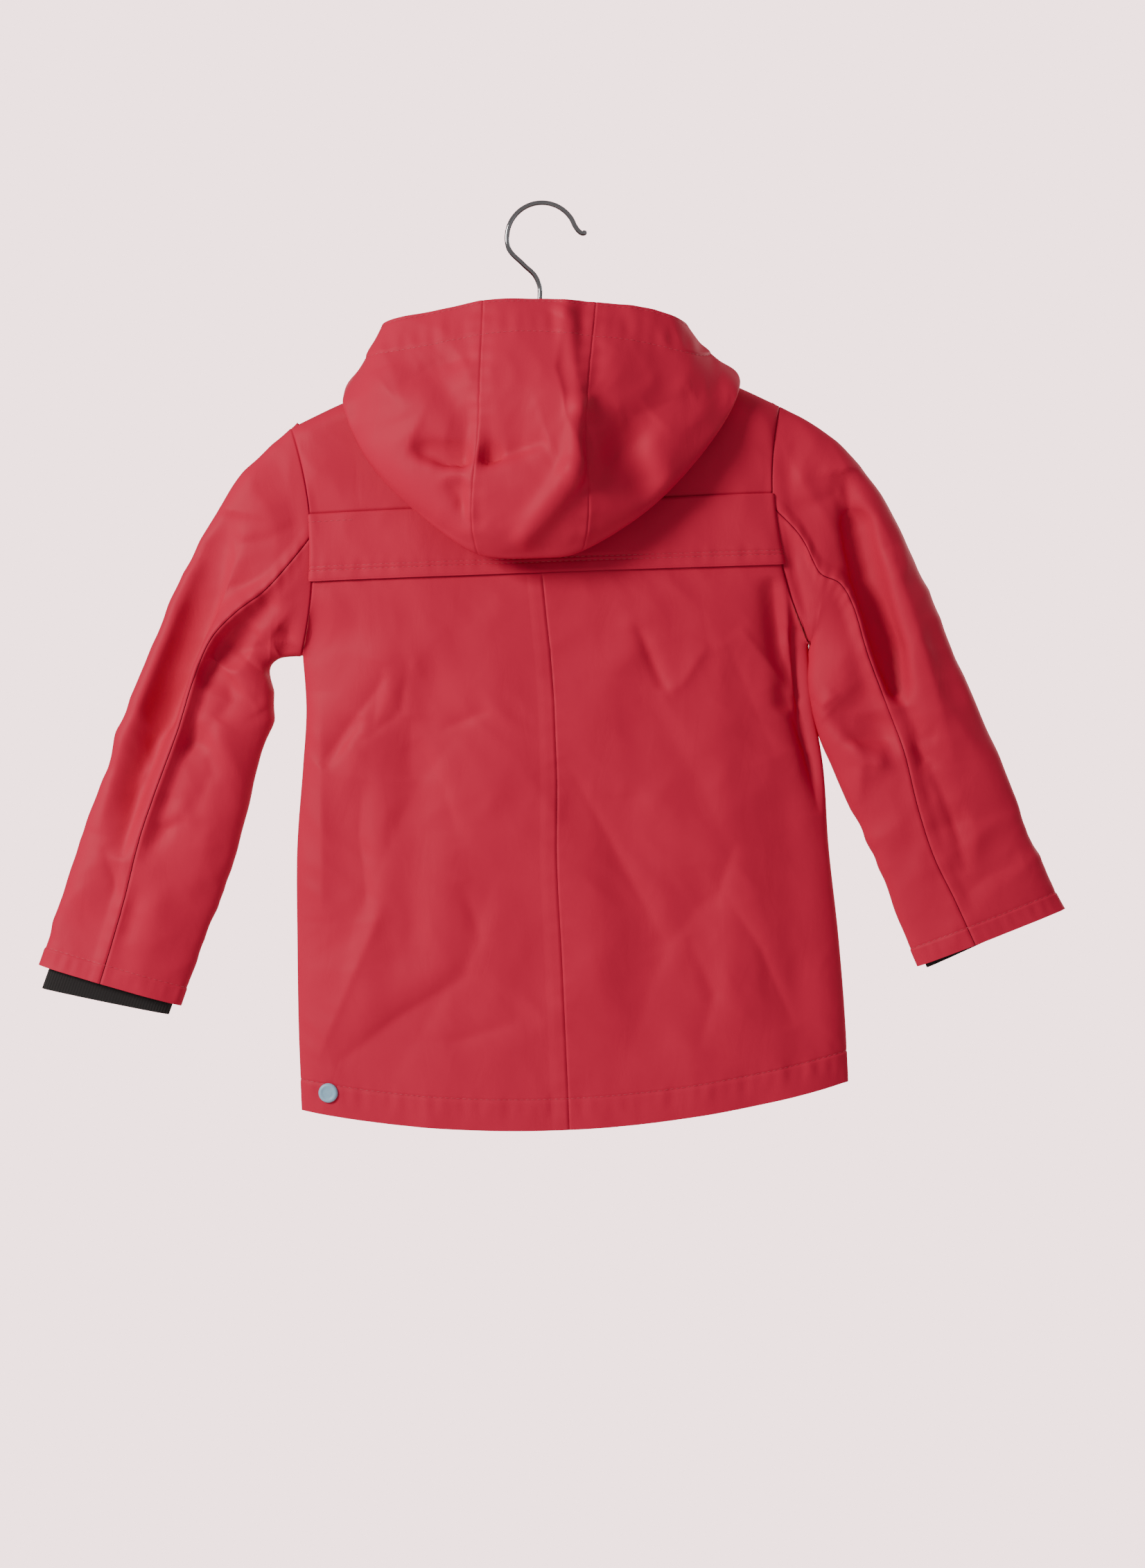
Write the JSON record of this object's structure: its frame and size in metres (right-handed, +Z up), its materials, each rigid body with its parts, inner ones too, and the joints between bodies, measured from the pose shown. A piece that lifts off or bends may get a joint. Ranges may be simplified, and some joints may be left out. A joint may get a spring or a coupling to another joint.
{
  "type": "kids rain jacket on a hanger",
  "caption": "Child's red PU-coated rain jacket with a hood, seen from the back, on a flat wooden hanger with a chrome wire hook; black rib cuffs inside the sleeves and pale blue snaps",
  "frame": {"origin": "the point where the hook hangs: the top of the inside of its curve", "axes": "+Z up; the jacket's back faces -Y; the wearer's left sleeve is at -X and the right sleeve at +X"},
  "size_m": [0.7683, 0.1193, 0.6958],
  "materials": {
    "coated_fabric_red": "satin PU coating on a knit base, softly wrinkled",
    "rib_knit_black": "matte rib knit",
    "snap_blue": "satin painted cap, plain",
    "chrome_wire": "bright plated wire",
    "beech_bar": "clear satin lacquer on beech"
  },
  "bodies": {
    "root": {"back_left": "coated_fabric_red", "back_right": "coated_fabric_red", "back_yoke": "coated_fabric_red", "back_flap": "coated_fabric_red", "front_left": "coated_fabric_red", "front_right": "coated_fabric_red", "front_placket": "coated_fabric_red", "sleeve_left_upper": "coated_fabric_red", "sleeve_left_under": "coated_fabric_red", "sleeve_right_upper": "coated_fabric_red", "sleeve_right_under": "coated_fabric_red", "hood_left": "coated_fabric_red", "hood_centre": "coated_fabric_red", "hood_right": "coated_fabric_red", "cuff_left": "rib_knit_black", "cuff_right": "rib_knit_black", "snap_hem": "snap_blue", "snap_front_1": "snap_blue", "snap_front_2": "snap_blue", "snap_front_3": "snap_blue", "snap_front_4": "snap_blue", "snap_front_5": "snap_blue", "hanger_hook": "chrome_wire", "hanger_bar": "beech_bar"}
  },
  "joints": []
}
